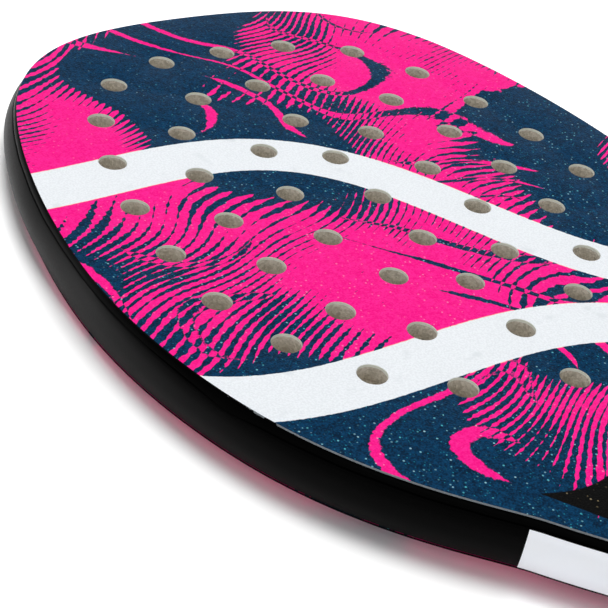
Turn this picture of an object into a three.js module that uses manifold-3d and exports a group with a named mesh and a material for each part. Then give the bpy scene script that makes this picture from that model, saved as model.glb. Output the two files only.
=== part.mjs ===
// Beach tennis racket.
// A foam core lies between two drilled faces, inside a hollow composite frame
// whose two legs run down into a handle wound with cushion tape.
// Millimetres: +X runs across the face, +Y towards the tip, +Z through the thickness.
// The origin is under the middle of the racket, level with the lowest flat of the butt.

import * as THREE from 'three';
import { mergeVertices } from 'three/addons/utils/BufferGeometryUtils.js';
import Module from 'manifold-3d';

const wasm = await Module();
wasm.setup();

// Overall sizes
const overallLength = 500;
const headWidth = 243.5;
const headThickness = 20.6;

// Fits: the glue line between neighbours, and how far a cutter runs past its work
const clearance = 0.3;
const overrun = 6;

// Head outline on the outer wall. Depths run down from the tip, and slopes are
// degrees away from the handle's direction.
const shoulderAcross = 94;
const shoulderDepth = 41.5;
const shoulderSlopeDegrees = 31;
const widestDepth = 162.5;
const throatAcross = 53.5;
const throatAboveShaft = 58.5;
const throatSlopeDegrees = 40;
const shaftTopDepth = 367;
const shaftWidth = 25;

// How far each curve of the outline pulls along its ends, as shares of its chord
const tipPullShares = [0.42, 0.4];
const shoulderPullShares = [0.2, 0.4];
const flankPullShares = [0.58, 0.13];
const throatPullShares = [0.6, 0.33];

// Steps along the tip, shoulder, flank, throat and leg of each side
const outlineSteps = [8, 9, 13, 7, 1];

// Faces and drilled holes. A ring's places are sideways and down from the first
// hole, in shares of the hole pitch. Sideways, the pitch keeps the outermost
// holes at their distance from the outer wall.
const faceThickness = 0.8;
const holeDiameter = 10;
const holeSides = 12;
const holePitch = 28;
const tipToFirstHole = 32.2;
const outerHoleInset = 31.87;
const centreHoles = 9;
const outerRingShares = [
  [1.01, 0.05], [1.97, 0.46], [2.58, 1.28], [2.92, 2.27], [3.14, 3.29],
  [3.21, 4.32], [3.17, 5.34], [2.83, 6.3], [2.22, 7.12], [1.37, 7.68],
];
const middleRingShares = [
  [1.02, 1.11], [1.7, 1.87], [2, 2.87], [2.17, 3.9], [2.18, 4.92], [1.89, 5.98], [1.19, 6.64],
];
const innerRingShares = [[0.86, 2.58], [1.09, 3.6], [1.17, 4.61], [0.86, 5.59]];

// Rim section: a bevel falls from the face's edge to the seam of the edge guard.
// It is narrow round the head and widens between two depths below the tip.
const frameWidth = 11.5;
const frameWall = 1.8;
const headBevel = 0.8;
const throatBevel = 2.5;
const bevelWidensDepth = 148;
const bevelFullDepth = 228;
const bevelDrop = 3.5;
const bevelBulgeShares = [0.3, 0.55];
const lipInset = 0.3;
const guardThickness = 0.6;
const guardCrown = 0.25;
const guardRound = 1.8;

// Blank label on the left side wall, beside the throat
const labelAboveThroat = 4;
const labelLength = 35.5;
const labelThickness = 0.3;

// Bridge that closes the head's loop inside the throat
const bridgeAboveThroat = 20.1;
const bridgeRadius = 140;
const bridgeWidth = 11.5;
const bridgeSides = 96;

// Handle: an octagon with rounded corners
const handleWidth = 32;
const handleDepth = 28;
const handleChamfer = 6;
const handleCorner = 2.5;
const cornerPoints = 3;

// Cushion tape, wound in one unbroken length, and the tape that finishes it
const tapeWidth = 24;
const tapeThickness = 1.8;
const tapeEdgeRound = 1.2;
const tapeEdgeHeight = 1.1;
const lapGap = 0.6;
const finishLength = 14;
const finishThickness = 0.5;

// Rubber collar over the top of the handle
const collarOnHandle = 7;
const collarOnShaft = 6;
const collarWall = 1.2;

// Butt cap, its cord hole and the staples that hold it
const capEnd = 12;
const capFlare = 3.6;
const capSkirt = 14;
const skirtThickness = 1.2;
const cordHole = 7;
const cordHoleSides = 16;
const stapleWidth = 9;
const stapleReach = 3;
const stapleWire = 0.6;

// Where along the butt cap's end its flare swells and falls, as shares of the
// end's length and of the flare
const flareShares = [[1, 0.67], [0.82, 0.86], [0.6, 1], [0.3, 1], [0.1, 0.8], [0, 0.45]];

// Places worked out from the sizes above
const tipY = overallLength / 2;
const buttY = -overallLength / 2;
const midHeight = handleDepth / 2 + capFlare;
const faceHalf = headThickness / 2;
const coreHalf = faceHalf - faceThickness;
const seamHalf = faceHalf - bevelDrop;
const shaftHalf = shaftWidth / 2;
const firstHoleY = tipY - tipToFirstHole;
const tapeOuter = clearance + tapeThickness;
const finishOuter = tapeOuter + clearance + finishThickness;
const shaftTopY = tipY - shaftTopDepth;
const throatY = shaftTopY + throatAboveShaft;
const labelTopY = throatY + labelAboveThroat;
const handleTopY = shaftTopY - collarOnShaft;
const capInsideY = buttY + capEnd;
const skirtTopY = capInsideY + capSkirt;
const legEndY = capInsideY + clearance;
const rimEndY = handleTopY + clearance;
const tapeTopY = handleTopY - collarOnHandle - clearance;

// Tools that turn geometry into solids and back

function solid(geometry) {
  geometry.deleteAttribute('normal');
  geometry.deleteAttribute('uv');
  const merged = mergeVertices(geometry);
  const vertProperties = merged.attributes.position.array;
  const triVerts = Uint32Array.from(merged.index.array);
  return new wasm.Manifold(new wasm.Mesh({ numProp: 3, vertProperties, triVerts }));
}

function joined(solids) {
  return solids.reduce((whole, next) => whole.add(next));
}

function piece(name, body, material) {
  const { vertProperties, triVerts } = body.getMesh();
  const geometry = new THREE.BufferGeometry();
  geometry.setAttribute('position', new THREE.BufferAttribute(vertProperties, 3));
  geometry.setIndex(new THREE.BufferAttribute(triVerts, 1));
  geometry.computeVertexNormals();
  const mesh = new THREE.Mesh(geometry, material);
  mesh.name = name;
  return mesh;
}

// A closed skin over rings of points, each with as many points as the section,
// which runs counter-clockwise as the rings come towards the viewer.
function loft(rings, section) {
  const count = section.length;
  const faces = [];
  for (let i = 0; i + 1 < rings.length; i += 1) {
    for (let j = 0; j < count; j += 1) {
      const a = i * count + j;
      const b = i * count + ((j + 1) % count);
      faces.push(a, b, b + count, a, b + count, a + count);
    }
  }
  const last = (rings.length - 1) * count;
  for (const [a, b, c] of THREE.ShapeUtils.triangulateShape(section, [])) {
    faces.push(c, b, a);
    faces.push(last + a, last + b, last + c);
  }
  const geometry = new THREE.BufferGeometry();
  geometry.setFromPoints(rings.flat());
  geometry.setIndex(faces);
  return solid(geometry);
}

function plate(points, bottom, top) {
  const shape = new THREE.Shape(points);
  const geometry = new THREE.ExtrudeGeometry(shape, { depth: top - bottom, bevelEnabled: false });
  return solid(geometry.translate(0, 0, bottom));
}

function block(low, high) {
  const size = high.clone().sub(low);
  const middle = low.clone().add(high).multiplyScalar(0.5);
  const geometry = new THREE.BoxGeometry(size.x, size.y, size.z);
  return solid(geometry.translate(middle.x, middle.y, middle.z));
}

// Outline of the racket

function heading(degrees, side) {
  const angle = THREE.MathUtils.degToRad(degrees);
  return new THREE.Vector2(side * Math.sin(angle), -Math.cos(angle));
}

function pulledCurve(start, startHeading, end, endHeading, [startShare, endShare]) {
  const chord = start.distanceTo(end);
  const afterStart = start.clone().addScaledVector(startHeading, startShare * chord);
  const beforeEnd = end.clone().addScaledVector(endHeading, -endShare * chord);
  return new THREE.CubicBezierCurve(start, afterStart, beforeEnd, end);
}

// The right side's curves from the tip down to endY, on the outer wall.
function rightCurves(endY) {
  const tip = new THREE.Vector2(0, tipY);
  const shoulder = new THREE.Vector2(shoulderAcross, tipY - shoulderDepth);
  const widest = new THREE.Vector2(headWidth / 2, tipY - widestDepth);
  const throat = new THREE.Vector2(throatAcross, throatY);
  const shaftTop = new THREE.Vector2(shaftHalf, shaftTopY);
  const acrossHeading = heading(90, 1);
  const shoulderHeading = heading(shoulderSlopeDegrees, 1);
  const downHeading = heading(0, 1);
  const throatHeading = heading(throatSlopeDegrees, -1);
  return [
    pulledCurve(tip, acrossHeading, shoulder, shoulderHeading, tipPullShares),
    pulledCurve(shoulder, shoulderHeading, widest, downHeading, shoulderPullShares),
    pulledCurve(widest, downHeading, throat, throatHeading, flankPullShares),
    pulledCurve(throat, throatHeading, shaftTop, downHeading, throatPullShares),
    new THREE.LineCurve(shaftTop, new THREE.Vector2(shaftHalf, endY)),
  ];
}

function station(curve, share) {
  const along = curve.getTangent(share);
  return { at: curve.getPoint(share), out: new THREE.Vector2(-along.y, along.x) };
}

function mirrored({ at, out }) {
  return { at: new THREE.Vector2(-at.x, at.y), out: new THREE.Vector2(-out.x, out.y) };
}

// Points with outward directions, from the left leg's end round the tip to the right leg's.
function rimStations(endY) {
  const curves = rightCurves(endY);
  const right = [station(curves[0], 0)];
  curves.forEach((curve, index) => {
    for (let step = 1; step <= outlineSteps[index]; step += 1) {
      right.push(station(curve, step / outlineSteps[index]));
    }
  });
  const left = right.slice(1).reverse().map(mirrored);
  return [...left, ...right];
}

function bevelAt(y) {
  const share = THREE.MathUtils.smoothstep(tipY - y, bevelWidensDepth, bevelFullDepth);
  return THREE.MathUtils.lerp(headBevel, throatBevel, share);
}

// The outline moved inwards by insetAt(y).
function insetOutline(endY, insetAt) {
  return rimStations(endY).map(({ at, out }) => at.clone().addScaledVector(out, -insetAt(at.y))).reverse();
}

// The [out, up] points of sectionFor(bevel width) carried along stations of the rim.
function sweep(stations, sectionFor) {
  const rings = stations.map(({ at, out }) => sectionFor(bevelAt(at.y)).map(([across, up]) => {
    const place = at.clone().addScaledVector(out, across);
    return new THREE.Vector3(place.x, place.y, midHeight + up);
  }));
  const section = sectionFor(headBevel).map(([across, up]) => new THREE.Vector2(across, up));
  return loft(rings, section);
}

// An [out, up] section that repeats upside down below the middle plane.
function symmetricSection(upper) {
  const lower = upper.map(([out, up]) => [out, -up]).reverse();
  return [...lower, ...upper];
}

// Frame, guard and label

function frameTube() {
  const lipHalf = seamHalf + clearance / 2;
  const channel = -guardThickness - clearance;
  const [bulgeAcross, bulgeUp] = bevelBulgeShares;
  const bevelUp = THREE.MathUtils.lerp(lipHalf, coreHalf, bulgeUp);
  const outside = (bevel) => symmetricSection([
    [channel, lipHalf],
    [-lipInset, lipHalf],
    [-THREE.MathUtils.lerp(lipInset, bevel, bulgeAcross), bevelUp],
    [-bevel, coreHalf],
    [-frameWidth, coreHalf],
  ]);
  const boreHalf = coreHalf - frameWall;
  const bore = (bevel) => symmetricSection([
    [channel - frameWall, boreHalf - frameWall],
    [channel - frameWall - bevel, boreHalf],
    [-frameWidth + frameWall, boreHalf],
  ]);
  const tube = sweep(rimStations(legEndY), outside);
  return tube.subtract(sweep(rimStations(legEndY - overrun), bore));
}

function edgeGuard() {
  const guardHalf = seamHalf - clearance / 2;
  const section = symmetricSection([
    [0, guardHalf - guardRound],
    [-guardCrown, guardHalf],
    [-guardThickness, guardHalf],
  ]);
  return sweep(rimStations(rimEndY), () => section);
}

function sideLabel() {
  const inner = clearance;
  const outer = clearance + labelThickness;
  const labelHalf = seamHalf - clearance / 2;
  const section = symmetricSection([
    [outer, labelHalf - guardRound],
    [outer - guardCrown, labelHalf],
    [inner - guardCrown, labelHalf],
    [inner, labelHalf - guardRound],
  ]);
  const span = block(
    new THREE.Vector3(-headWidth, labelTopY - labelLength, -overrun),
    new THREE.Vector3(0, labelTopY, midHeight + headThickness),
  );
  return sweep(rimStations(rimEndY), () => section).intersect(span);
}

// Core, faces and the pieces inside the throat

function holePlaces() {
  const widestShare = Math.max(...outerRingShares.map(([across]) => across));
  const pitchAcross = (headWidth / 2 - outerHoleInset) / widestShare;
  const places = [];
  for (let i = 0; i < centreHoles; i += 1) {
    places.push([0, firstHoleY - i * holePitch]);
  }
  for (const [across, down] of [...outerRingShares, ...middleRingShares, ...innerRingShares]) {
    for (const side of [-1, 1]) {
      places.push([side * across * pitchAcross, firstHoleY - down * holePitch]);
    }
  }
  return places;
}

function drills() {
  const reach = headThickness + 2 * overrun;
  return joined(holePlaces().map(([x, y]) => {
    const bit = new THREE.CylinderGeometry(holeDiameter / 2, holeDiameter / 2, reach, holeSides);
    return solid(bit.rotateX(Math.PI / 2).translate(x, y, midHeight));
  }));
}

function face(bottom, top) {
  return plate(insetOutline(rimEndY, bevelAt), bottom, top);
}

// Everything between the frame's inner walls, from tip to handle.
function innerFill() {
  const outline = insetOutline(rimEndY, () => frameWidth + clearance);
  return plate(outline, midHeight - coreHalf, midHeight + coreHalf);
}

const bridgeBottomY = throatY + bridgeAboveThroat;
const bridgeCentreY = bridgeBottomY + bridgeRadius;

function bridgeDisc(radius) {
  const disc = new THREE.CylinderGeometry(radius, radius, headThickness + overrun, bridgeSides);
  return solid(disc.rotateX(Math.PI / 2).translate(0, bridgeCentreY, midHeight));
}

function belowBridgeCentre() {
  const low = new THREE.Vector3(-headWidth, buttY, -overrun);
  const high = new THREE.Vector3(headWidth, bridgeCentreY, midHeight + headThickness);
  return block(low, high);
}

function foamCore() {
  const kept = bridgeDisc(bridgeRadius - bridgeWidth - clearance);
  return innerFill().subtract(belowBridgeCentre().subtract(kept));
}

function throatBridge() {
  const band = bridgeDisc(bridgeRadius).subtract(bridgeDisc(bridgeRadius - bridgeWidth));
  return innerFill().intersect(band).intersect(belowBridgeCentre());
}

function throatFoam() {
  return innerFill().intersect(belowBridgeCentre()).subtract(bridgeDisc(bridgeRadius + clearance));
}

// Handle sections: rounded octagons in the plane across the handle

function octagonRing(halfWidth, halfDepth, chamfer, corner, y) {
  const inset = corner * (2 - Math.SQRT2);
  const [a, b, c] = [halfWidth - corner, halfDepth - corner, chamfer - inset];
  const centres = [
    [a, b - c], [a - c, b], [c - a, b], [-a, b - c],
    [-a, c - b], [c - a, -b], [a - c, -b], [a, c - b],
  ];
  return centres.flatMap(([x, z], side) => {
    const points = [];
    for (let step = 0; step < cornerPoints; step += 1) {
      const angle = (side + step / (cornerPoints - 1)) * (Math.PI / 4);
      const out = new THREE.Vector2(Math.cos(angle), Math.sin(angle)).multiplyScalar(corner);
      points.push(new THREE.Vector3(x + out.x, y, midHeight + z + out.y));
    }
    return points;
  });
}

// The handle's section grown by an offset.
function handleRing(offset, y) {
  const chamfer = handleChamfer + offset * (2 - Math.SQRT2);
  return octagonRing(handleWidth / 2 + offset, handleDepth / 2 + offset, chamfer, handleCorner + offset, y);
}

// A solid through rings that follow each other from the tip's side to the butt's.
function handleLoft(rings) {
  return loft(rings, rings[0].map((point) => new THREE.Vector2(point.x, point.z)));
}

// The rim's section at the shaft, both legs together, grown by a clearance.
function shaftBar(topY, bottomY, grow) {
  const wide = shaftHalf + grow;
  const narrow = shaftHalf - throatBevel + grow;
  const corners = [
    [wide, seamHalf + grow], [narrow, faceHalf + grow],
    [-narrow, faceHalf + grow], [-wide, seamHalf + grow],
    [-wide, -seamHalf - grow], [-narrow, -faceHalf - grow],
    [narrow, -faceHalf - grow], [wide, -seamHalf - grow],
  ];
  const rings = [topY, bottomY].map((y) => (
    corners.map(([x, z]) => new THREE.Vector3(x, y, midHeight + z))
  ));
  return handleLoft(rings);
}

// Handle shells and the staples through their necks

function stapleBar(x, halfAcross, halfAlong, bottom, top, side) {
  const y = capInsideY + capSkirt / 2;
  const [low, high] = side > 0 ? [bottom, top] : [-top, -bottom];
  return block(
    new THREE.Vector3(x - halfAcross, y - halfAlong, midHeight + low),
    new THREE.Vector3(x + halfAcross, y + halfAlong, midHeight + high),
  );
}

// A staple, or the slot for one when it is grown and its top is raised.
function staple(side, grow, rise) {
  const top = handleDepth / 2 + rise;
  const crownBottom = handleDepth / 2 - stapleWire;
  const legBottom = handleDepth / 2 - stapleReach - grow;
  const legX = (stapleWidth - stapleWire) / 2;
  const half = stapleWire / 2 + grow;
  return joined([
    stapleBar(0, stapleWidth / 2 + grow, half, crownBottom, top, side),
    stapleBar(-legX, half, half, legBottom, top, side),
    stapleBar(legX, half, half, legBottom, top, side),
  ]);
}

function stapleSlot(side) {
  return staple(side, clearance, overrun);
}

function pallet(side) {
  const neckY = skirtTopY + clearance;
  const neckInset = skirtThickness + clearance;
  const whole = handleLoft([
    handleRing(0, handleTopY),
    handleRing(0, neckY),
    handleRing(-neckInset, neckY),
    handleRing(-neckInset, legEndY),
  ]);
  const legs = shaftBar(handleTopY + overrun, legEndY - overrun, clearance);
  const [low, high] = side > 0 ? [clearance / 2, handleDepth] : [-handleDepth, -clearance / 2];
  const half = block(
    new THREE.Vector3(-handleWidth, buttY, midHeight + low),
    new THREE.Vector3(handleWidth, tipY, midHeight + high),
  );
  return whole.subtract(legs).intersect(half).subtract(stapleSlot(side));
}

// Grip

// The tape's section, as [offset from the handle, height along it] from its middle.
function tapeSection() {
  const half = tapeWidth / 2;
  const shoulder = clearance + tapeEdgeHeight;
  return [
    [clearance, -half],
    [shoulder, -half],
    [tapeOuter, -half + tapeEdgeRound],
    [tapeOuter, half - tapeEdgeRound],
    [shoulder, half],
    [clearance, half],
  ];
}

function tapeRings(turns, firstY) {
  const pitch = tapeWidth + lapGap;
  const perTurn = handleRing(0, 0).length;
  const section = tapeSection();
  const outlines = section.map(([offset]) => handleRing(offset, 0));
  const rings = [];
  for (let step = 0; step <= turns * perTurn; step += 1) {
    const y = firstY + (pitch * step) / perTurn;
    rings.push(section.map(([, height], index) => {
      const point = outlines[index][step % perTurn];
      return new THREE.Vector3(point.x, y + height, point.z);
    }));
  }
  return rings;
}

function leastLapGap(rings) {
  const perTurn = handleRing(0, 0).length;
  let least = Infinity;
  for (let i = 0; i + perTurn < rings.length; i += 1) {
    for (const lower of rings[i]) {
      for (const upper of rings[i + perTurn]) {
        least = Math.min(least, lower.distanceTo(upper));
      }
    }
  }
  return least;
}

function gripTape() {
  const pitch = tapeWidth + lapGap;
  const bottomY = capInsideY + clearance;
  const firstY = bottomY - pitch;
  const turns = Math.ceil((tapeTopY + pitch - firstY) / pitch);
  const rings = tapeRings(turns, firstY);
  console.log(`grip tape: least gap between laps ${leastLapGap(rings).toFixed(2)} mm`);
  const section = tapeSection().map(([offset, height]) => new THREE.Vector2(offset, height));
  const ends = block(
    new THREE.Vector3(-handleWidth, bottomY, -overrun),
    new THREE.Vector3(handleWidth, tapeTopY, midHeight + handleDepth),
  );
  return loft(rings, section).intersect(ends);
}

function finishingTape() {
  const bottomY = tapeTopY - finishLength;
  const outside = handleLoft([handleRing(finishOuter, tapeTopY), handleRing(finishOuter, bottomY)]);
  const inside = tapeOuter + clearance;
  return outside.subtract(handleLoft([
    handleRing(inside, tapeTopY + overrun),
    handleRing(inside, bottomY - overrun),
  ]));
}

function gripCollar() {
  const topY = handleTopY + collarOnShaft;
  const bottomY = handleTopY - collarOnHandle;
  const wall = clearance + collarWall;
  const lipRing = octagonRing(shaftHalf + wall, faceHalf + wall, throatBevel, handleCorner, topY);
  const outside = handleLoft([
    lipRing,
    handleRing(finishOuter, handleTopY),
    handleRing(finishOuter, bottomY),
  ]);
  const overHandle = handleLoft([
    handleRing(clearance, handleTopY + clearance),
    handleRing(clearance, bottomY - overrun),
  ]);
  return outside.subtract(overHandle).subtract(shaftBar(topY + overrun, bottomY, clearance));
}

// Butt

function buttCap() {
  const flare = flareShares.map(([along, share]) => handleRing(capFlare * share, buttY + capEnd * along));
  const outside = handleLoft([handleRing(0, skirtTopY), handleRing(0, capInsideY), ...flare]);
  const socket = handleLoft([
    handleRing(-skirtThickness, skirtTopY + overrun),
    handleRing(-skirtThickness, capInsideY),
  ]);
  const reach = handleWidth + 2 * (capFlare + overrun);
  const hole = new THREE.CylinderGeometry(cordHole / 2, cordHole / 2, reach, cordHoleSides);
  const cordWay = solid(hole.rotateZ(Math.PI / 2).translate(0, buttY + capEnd / 2, midHeight));
  const slots = stapleSlot(1).add(stapleSlot(-1));
  return outside.subtract(socket).subtract(cordWay).subtract(slots);
}

// Materials

function finish(color, roughness, metalness) {
  return new THREE.MeshStandardMaterial({ color, roughness, metalness });
}

const printedFace = finish('#f0148c', 0.55, 0);
const foam = finish('#8f8a80', 0.95, 0);
const blackComposite = finish('#141414', 0.25, 0);
const guardFilm = finish('#1c1c1c', 0.4, 0);
const whiteLabel = finish('#f1f2f6', 0.5, 0);
const mouldedFoam = finish('#3a3a3a', 0.9, 0);
const cushionTape = finish('#181818', 0.8, 0);
const blackTape = finish('#101010', 0.5, 0);
const rubber = finish('#202020', 0.7, 0);
const capPlastic = finish('#161616', 0.45, 0);
const stapleSteel = finish('#b8babd', 0.35, 0.9);

// Assembly

const racket = new THREE.Group();
const holes = drills();
racket.add(
  piece('foam_core', foamCore().subtract(holes), foam),
  piece('front_face', face(midHeight + coreHalf, midHeight + faceHalf).subtract(holes), printedFace),
  piece('back_face', face(midHeight - faceHalf, midHeight - coreHalf).subtract(holes), printedFace),
  piece('frame_tube', frameTube(), blackComposite),
  piece('throat_bridge', throatBridge(), blackComposite),
  piece('throat_foam', throatFoam(), foam),
  piece('edge_guard', edgeGuard(), guardFilm),
  piece('side_label', sideLabel(), whiteLabel),
  piece('front_pallet', pallet(1), mouldedFoam),
  piece('back_pallet', pallet(-1), mouldedFoam),
  piece('grip_tape', gripTape(), cushionTape),
  piece('finishing_tape', finishingTape(), blackTape),
  piece('grip_collar', gripCollar(), rubber),
  piece('butt_cap', buttCap(), capPlastic),
  piece('front_staple', staple(1, 0, 0), stapleSteel),
  piece('back_staple', staple(-1, 0, 0), stapleSteel),
);

export default racket;
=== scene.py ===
"""Beach tennis racket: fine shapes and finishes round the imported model.

Lengths are millimetres until a mesh is made, which turns them to metres.
"""
import math

import bmesh
import bpy
from mathutils import Matrix, Vector
from mathutils.geometry import delaunay_2d_cdt, interpolate_bezier


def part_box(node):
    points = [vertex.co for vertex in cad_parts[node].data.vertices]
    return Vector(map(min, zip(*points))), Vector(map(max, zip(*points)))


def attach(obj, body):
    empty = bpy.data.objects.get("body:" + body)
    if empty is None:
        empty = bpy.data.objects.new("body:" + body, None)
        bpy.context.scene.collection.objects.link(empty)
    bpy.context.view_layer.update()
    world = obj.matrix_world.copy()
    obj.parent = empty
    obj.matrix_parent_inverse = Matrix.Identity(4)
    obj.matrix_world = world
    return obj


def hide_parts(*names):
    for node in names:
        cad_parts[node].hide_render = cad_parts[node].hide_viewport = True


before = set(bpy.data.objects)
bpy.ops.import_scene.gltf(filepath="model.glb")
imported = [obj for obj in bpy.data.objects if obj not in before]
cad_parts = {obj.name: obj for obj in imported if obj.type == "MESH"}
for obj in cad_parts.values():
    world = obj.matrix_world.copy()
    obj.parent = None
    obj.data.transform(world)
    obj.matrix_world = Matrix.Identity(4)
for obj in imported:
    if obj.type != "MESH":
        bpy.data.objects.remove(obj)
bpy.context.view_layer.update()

MM = 0.001
ROOT = "root"


def box(name):
    """A node's lowest and highest corners in millimetres."""
    low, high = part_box(name)
    return low / MM, high / MM


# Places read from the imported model
FRONT_LOW, FRONT_HIGH = box("front_face")
BACK_LOW, BACK_HIGH = box("back_face")
GUARD_LOW, GUARD_HIGH = box("edge_guard")
TUBE_LOW = box("frame_tube")[0]
LABEL_LOW, LABEL_HIGH = box("side_label")
TAPE_LOW, TAPE_HIGH = box("grip_tape")
BAND_LOW, BAND_HIGH = box("finishing_tape")
COLLAR_LOW, COLLAR_HIGH = box("grip_collar")
CAP_LOW, CAP_HIGH = box("butt_cap")
PALLET_HIGH = box("front_pallet")[1]
STAPLE_LOW, STAPLE_HIGH = box("front_staple")

TIP_Y = GUARD_HIGH.y
HEAD_HALF = GUARD_HIGH.x
MID_Z = (FRONT_HIGH.z + BACK_LOW.z) / 2
FACE_HALF = FRONT_HIGH.z - MID_Z
CORE_HALF = FRONT_LOW.z - MID_Z
GUARD_HALF = GUARD_HIGH.z - MID_Z
RIM_END_Y = GUARD_LOW.y
LEG_END_Y = TUBE_LOW.y
HANDLE_TOP_Y = PALLET_HIGH.y

# Edges that bend by more degrees than this are drawn sharp
SHARP_BEND = 35
TAPE_SHARP_BEND = 50

# Outline of the head. Depths run down from the tip, and slopes are degrees
# away from the handle's direction.
SHOULDER_ACROSS = 94
SHOULDER_DEPTH = 41.5
SHOULDER_SLOPE = 31
WIDEST_DEPTH = 162.5
THROAT_ACROSS = 53.5
THROAT_DEPTH = 308.5
THROAT_SLOPE = 40
SHAFT_TOP_DEPTH = 367
SHAFT_HALF = 12.5
TIP_PULL_SHARES = (0.42, 0.4)
SHOULDER_PULL_SHARES = (0.2, 0.4)
FLANK_PULL_SHARES = (0.58, 0.13)
THROAT_PULL_SHARES = (0.6, 0.33)
CURVE_STEPS = (44, 48, 72, 36)
LEG_STEPS = 12

# Rim section. The bevel is narrow round the head and widens towards the throat.
HEAD_BEVEL = 0.8
THROAT_BEVEL = 2.5
BEVEL_WIDENS_DEPTH = 148
BEVEL_FULL_DEPTH = 228
BEVEL_STEPS = 7
BEVEL_BEND_SHARES = (0.12, 0.72)
SEAM_DEPTH = 0.9
SEAM_WIDTH = 0.3
FRAME_WIDTH = 11.5
FACE_ROUND = 0.25
ROUND_STEPS = 3
CROWN_SHARE = 0.5
CROWN_POWER = 3
WRAP_POWER = 2.2
GUARD_STEPS = 8
GUARD_LIP = 0.1
GUARD_SINK = 0.6

# Round the shoulders the wall bulges past the outline, most just below its middle
SHOULDER_BULGE = 3
BULGE_START_ACROSS = 10
BULGE_FULL_ACROSS = 55
BULGE_FADE_DEPTH = 90
BULGE_END_DEPTH = 160
BULGE_MIDDLE = -1
BULGE_REACH = 9

# The guard film is cut by hand: its edge wanders a little and dips once on each side
FILM_WANDER = 0.18
FILM_WANDER_LENGTHS = (31, 13)
FILM_DIP = 1.1
FILM_DIP_LENGTH = 11
FILM_DIP_DEPTHS = {-1: 226, 1: 251}

# Drilled holes: places are sideways and down from the first hole, in shares of the pitch
HOLE_RADIUS = 5
HOLE_PITCH = 28
HOLE_SIDES = 40
TIP_TO_FIRST_HOLE = 32.2
CENTRE_HOLES = 9
OUTER_RING_SHARES = (
    (1.01, 0.05), (1.97, 0.46), (2.58, 1.28), (2.92, 2.27), (3.14, 3.29),
    (3.21, 4.32), (3.17, 5.34), (2.83, 6.3), (2.22, 7.12), (1.37, 7.68),
)
MIDDLE_RING_SHARES = (
    (1.02, 1.11), (1.7, 1.87), (2, 2.87), (2.17, 3.9), (2.18, 4.92), (1.89, 5.98), (1.19, 6.64),
)
INNER_RING_SHARES = ((0.86, 2.58), (1.09, 3.6), (1.17, 4.61), (0.86, 5.59))
# A polygon belongs to a plate's flat face where the upright part of its normal is more
# than this
FLAT_FACE_SHARE = 0.7

# Bridge inside the throat
BRIDGE_RADIUS = 140
BRIDGE_WIDTH = 11.5
BRIDGE_STEPS = 48
GLUE_GAP = 0.3

# Label on the left side wall
LABEL_LIFT = 0.3
LABEL_FILM = 0.2

# Handle: an octagon with rounded corners
HANDLE_HALF_WIDTH = 16
HANDLE_HALF_DEPTH = 14
HANDLE_CHAMFER = 6
HANDLE_CORNER = 2.5
CORNER_STEPS = 5
FLAT_STEPS = 4

# Wound tape and the band and collar over its top
TAPE_WIDTH = 24
TAPE_THICKNESS = 1.8
TAPE_EDGE_ROUND = 1.2
TAPE_CROWN = 0.15
TAPE_ACROSS_STEPS = 6
LAP_GAP = 0.6
BAND_THICKNESS = 0.5
BAND_ROUND = 0.15
COLLAR_WALL = 1.2
COLLAR_STEPS = 6
COLLAR_GROOVE = 0.45
COLLAR_GROOVES = 2
# A groove's section: places along a rib, from the groove's middle, and depths
GROOVE_SHARES = ((-0.32, 0), (-0.16, 1), (0.16, 1), (0.32, 0))

# Butt cap. Its flare rounds off at the butt's face and narrows again towards the tape.
CAP_END = 12
CAP_FLARE = 3.6
CAP_RINGS = 18
FLARE_EDGE_SHARE = 0.45
FLARE_ROUND_SHARE = 0.3
FLARE_FULL_SHARE = 0.6
FLARE_NARROW_SHARE = 0.33
SKIRT_THICKNESS = 1.2
CORD_RADIUS = 3.5
CORD_LEAD = 1.1
CORD_SIDES = 40
CUT_OVERRUN = 1
BOX_FACES = ((0, 1, 5, 4), (1, 2, 6, 5), (2, 3, 7, 6), (3, 0, 4, 7), (3, 2, 1, 0), (4, 5, 6, 7))

# In the values below, a pair says where a blend starts and where it is full

# Printed ribbons: turn in degrees, shift across, swing, wave length, phase in radians, half width
FRONT_RIBBONS = ((28, 88, 27, 262, 3.5, 11), (28, -2, 30, 300, 0.9, 11))
BACK_RIBBONS = ((90, -24, 22, 300, 0.3, 11), (90, 26, 18, 240, 1.9, 7))
RIBBON_WAVER = 0.5
RIBBON_EDGE = (0.2, 0.35)
FRINGE_EDGE = (-0.05, 0.1)
WEAR_SIZE = 9
WEAR_SHARES = (0.6, 0.75)
MOTTLE_SHARES = (0.35, 0.65)

# Printed ground: areas of pink on navy, which meet in engraved lines, dots and brushed edges
GROUND_SIZE = 62
GROUND_GAIN = 3.6
FRONT_SHIFT = Vector((31, 12, 5))
FRONT_NAVY_SHARE = 0.74
BACK_SHIFT = Vector((-70, 45, 140))
BACK_NAVY_SHARE = 0.1
ENGRAVING_PITCH = 3.4
ENGRAVING_TURN = 62
ENGRAVING_BEND = 20
ENGRAVING_BEND_SIZE = 60
ENGRAVED_SIZE = 70
ENGRAVED_SHARES = (0.42, 0.5)
DOT_PITCH = 4.2
BRUSH_SIZE = 1.6
FLECK_SIZE = 4.5
LINE_WEIGHT = 0.7
DOT_WEIGHT = 0.14
BRUSH_WEIGHT = 0.26
FLECK_WEIGHT = 0.34
INK_EDGE = (0, 0.04)

# Long brushed scrolls over part of the ground
SCROLL_SIZE = 110
SCROLL_STEP_SHARE = 0.085
SCROLL_SHIFT = Vector((-40, 90, 60))
SCROLLED_SHARES = (0.42, 0.6)
SCROLLED_WEIGHT = 0.3
SCROLL_BRUSH_WEIGHT = 0.22
SCROLL_EDGE = (1.22, 1.26)

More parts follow.
